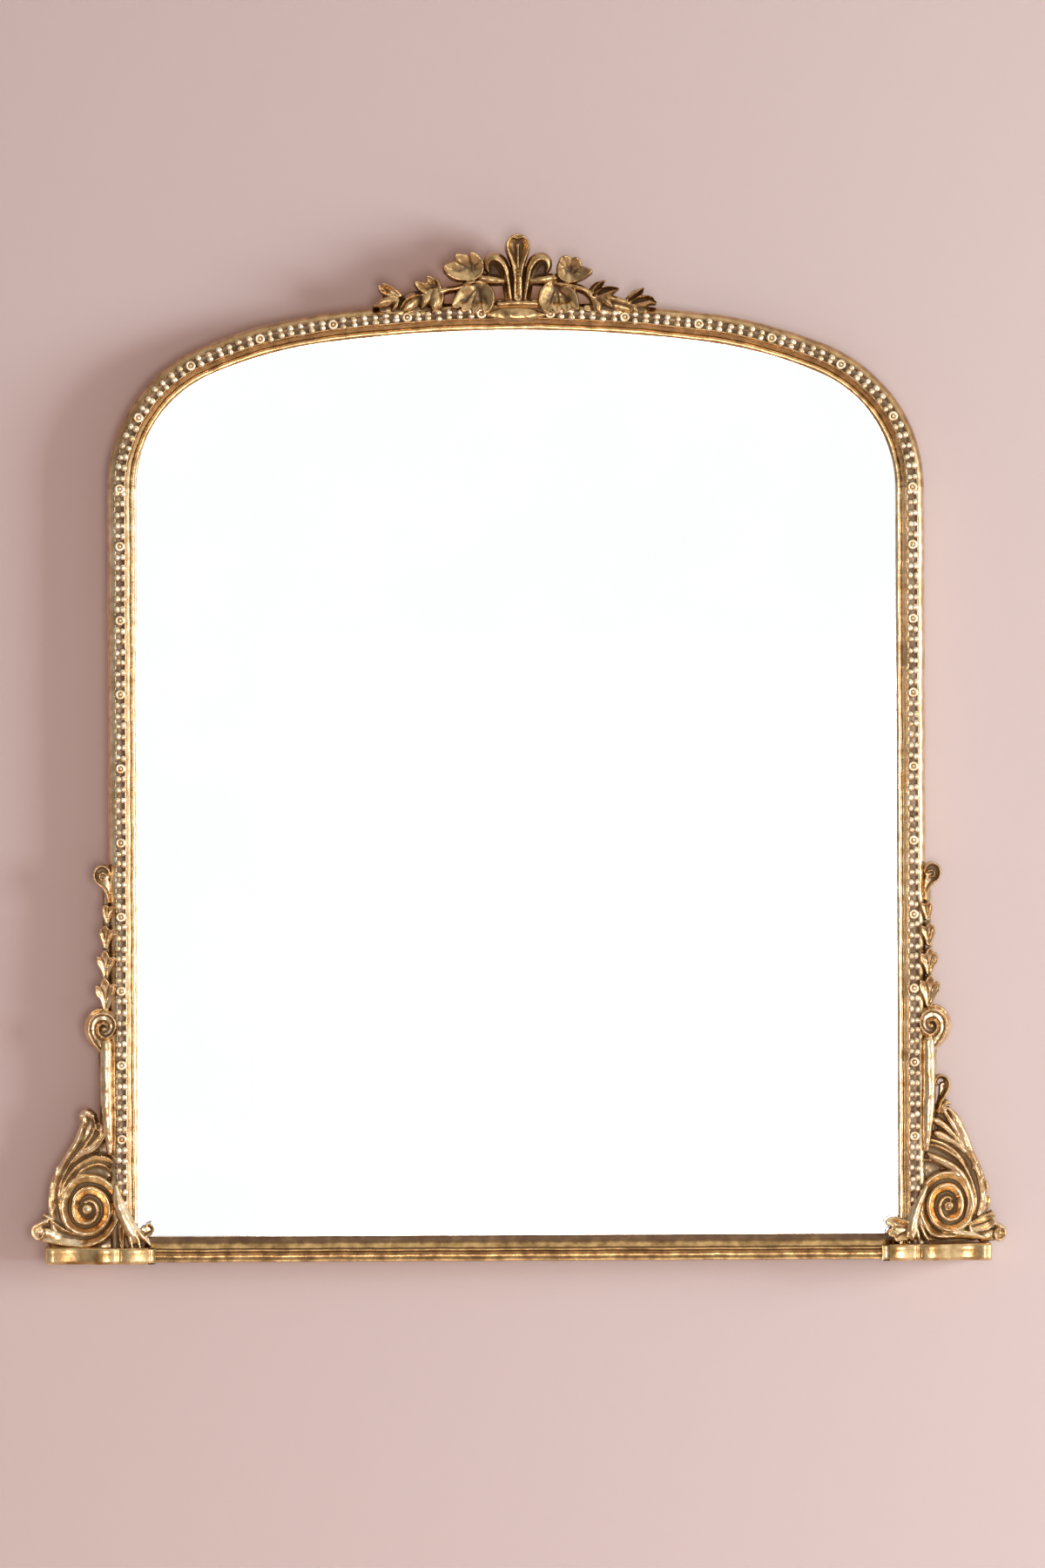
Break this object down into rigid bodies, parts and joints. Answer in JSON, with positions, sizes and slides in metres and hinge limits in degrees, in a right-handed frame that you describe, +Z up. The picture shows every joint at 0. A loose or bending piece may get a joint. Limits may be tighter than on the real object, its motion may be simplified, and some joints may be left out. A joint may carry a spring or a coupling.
{
  "type": "wall mirror",
  "caption": "Arched overmantel wall mirror in a carved and gilded frame with beaded moulding, scrolled corner brackets on serpentine feet and a pierced plume crest.",
  "frame": {"origin": "midpoint between the two wall hooks, on the wall plane that the bumpers rest on", "axes": "+X to the viewer's right, +Z up, +Y into the wall, so the glass faces -Y"},
  "size_m": [0.8674, 0.0528, 0.9142],
  "materials": {
    "gilt": "worn gold leaf over brown bole on carved wood",
    "silvered_glass": "plain silvered plate glass",
    "backing": "bare fibreboard",
    "dowel_wood": "beech",
    "plated_steel": "zinc plated",
    "bumper_rubber": "soft matt"
  },
  "bodies": {
    "frame": {"arch_moulding": "gilt", "backing_board": "backing", "backing_clips": "plated_steel", "bead_string_arch_left": "gilt", "bead_string_arch_right": "gilt", "bead_string_left": "gilt", "bead_string_right": "gilt", "bottom_rail": "gilt", "brace_screws": "plated_steel", "clip_screws": "plated_steel", "corner_braces": "plated_steel", "crest_leaf_left": "gilt", "crest_leaf_right": "gilt", "crest_plume": "gilt", "crest_spray_left": "gilt", "crest_spray_right": "gilt", "crest_tablet": "gilt", "hanger_screws": "plated_steel", "hanger_strap_left": "plated_steel", "hanger_strap_right": "plated_steel", "joint_dowels": "dowel_wood", "joint_plates": "plated_steel", "left_corner_block": "gilt", "left_corner_leaf": "gilt", "left_corner_scroll": "gilt", "left_hook_scroll": "gilt", "left_husk_drop": "gilt", "left_pilaster_strip": "gilt", "left_small_volute": "gilt", "left_stile": "gilt", "left_wing_board": "gilt", "mirror_glass": "silvered_glass", "plate_screws": "plated_steel", "right_corner_block": "gilt", "right_corner_leaf": "gilt", "right_corner_scroll": "gilt", "right_hook_scroll": "gilt", "right_husk_drop": "gilt", "right_pilaster_strip": "gilt", "right_small_volute": "gilt", "right_stile": "gilt", "right_wing_board": "gilt", "wall_bumpers": "bumper_rubber"},
    "ring_left": {"hanger_ring_left": "plated_steel"},
    "ring_right": {"hanger_ring_right": "plated_steel"}
  },
  "joints": [
    {"name": "ring_left_swing", "type": "hinge", "parent": "frame", "child": "ring_left", "pos_m": [-0.35375, -0.0039, -0.0128], "axis": [-1, 0, 0], "range_deg": [0, 150]},
    {"name": "ring_right_swing", "type": "hinge", "parent": "frame", "child": "ring_right", "pos_m": [0.35375, -0.0039, -0.0128], "axis": [-1, 0, 0], "range_deg": [0, 150]}
  ]
}
